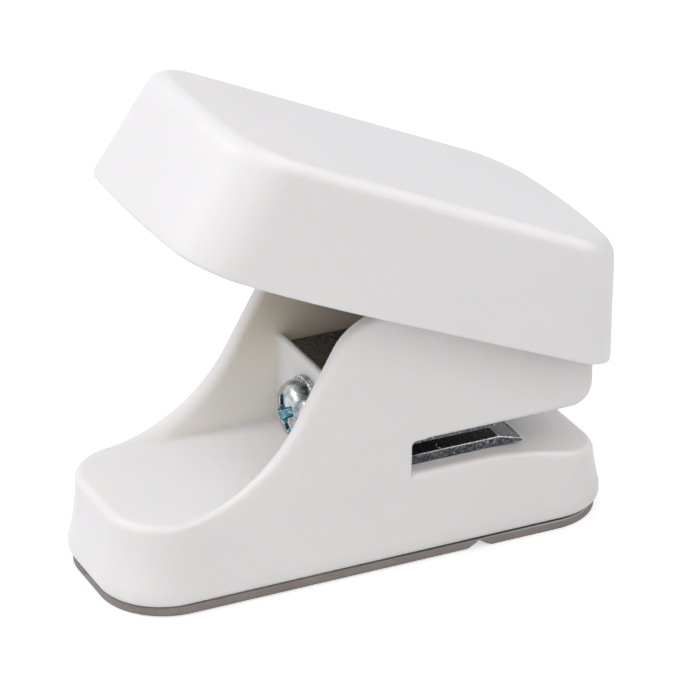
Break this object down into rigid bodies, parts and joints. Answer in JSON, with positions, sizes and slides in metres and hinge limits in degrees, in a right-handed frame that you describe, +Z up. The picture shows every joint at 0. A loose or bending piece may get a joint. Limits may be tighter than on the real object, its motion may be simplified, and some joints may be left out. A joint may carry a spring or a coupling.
{
  "type": "disc binding punch",
  "caption": "Small desk punch with a broad sprung handle that cuts a mushroom-shaped hole in a page's edge for disc binding, with a chip bin and snap-off cover below.",
  "frame": {"origin": "on the table under the middle of the base", "axes": "+X from the user's end to the paper end, +Y across the base, +Z up"},
  "size_m": [0.0646, 0.034, 0.0582],
  "materials": {
    "white_plastic": "satin moulded white",
    "grey_plastic": "matt warm grey",
    "dark_steel": "dark sheared sheet",
    "bright_steel": "ground steel",
    "zinc": "clear zinc plate"
  },
  "bodies": {
    "body": {"housing": "white_plastic", "tool_frame": "dark_steel", "die_plate": "bright_steel", "gap_spacer": "dark_steel", "guide_plate": "bright_steel", "frame_rivets": "bright_steel", "frame_screw": "zinc", "handle_axle": "bright_steel", "axle_clips": "dark_steel"},
    "handle": {"handle_cap": "white_plastic", "press_lever": "dark_steel", "press_bar": "bright_steel", "lever_screws": "zinc", "lever_washers": "zinc"},
    "punch": {"punch_pin": "bright_steel", "spring_cap": "dark_steel", "stem_clip": "zinc", "return_spring": "bright_steel"},
    "cover": {"chip_cover": "grey_plastic"}
  },
  "joints": [
    {"name": "handle_press", "type": "hinge", "parent": "body", "child": "handle", "pos_m": [0.023, 0, 0.0275], "axis": [0, -1, 0], "range_deg": [0, 17.5], "stiffness_Nm_per_rad": 0.25, "springref_deg": -20.05},
    {"name": "punch_slide", "type": "slide", "parent": "body", "child": "punch", "axis": [0, 0, -1], "range_m": [0, 0.00466], "deforming": ["return_spring"]},
    {"name": "cover_off", "type": "slide", "parent": "body", "child": "cover", "axis": [0, 0, -1], "range_m": [0, 0.015]}
  ],
  "couplings": [
    {"joint": "punch_slide", "follows": "handle_press", "m_per_rad": 0.015215}
  ]
}
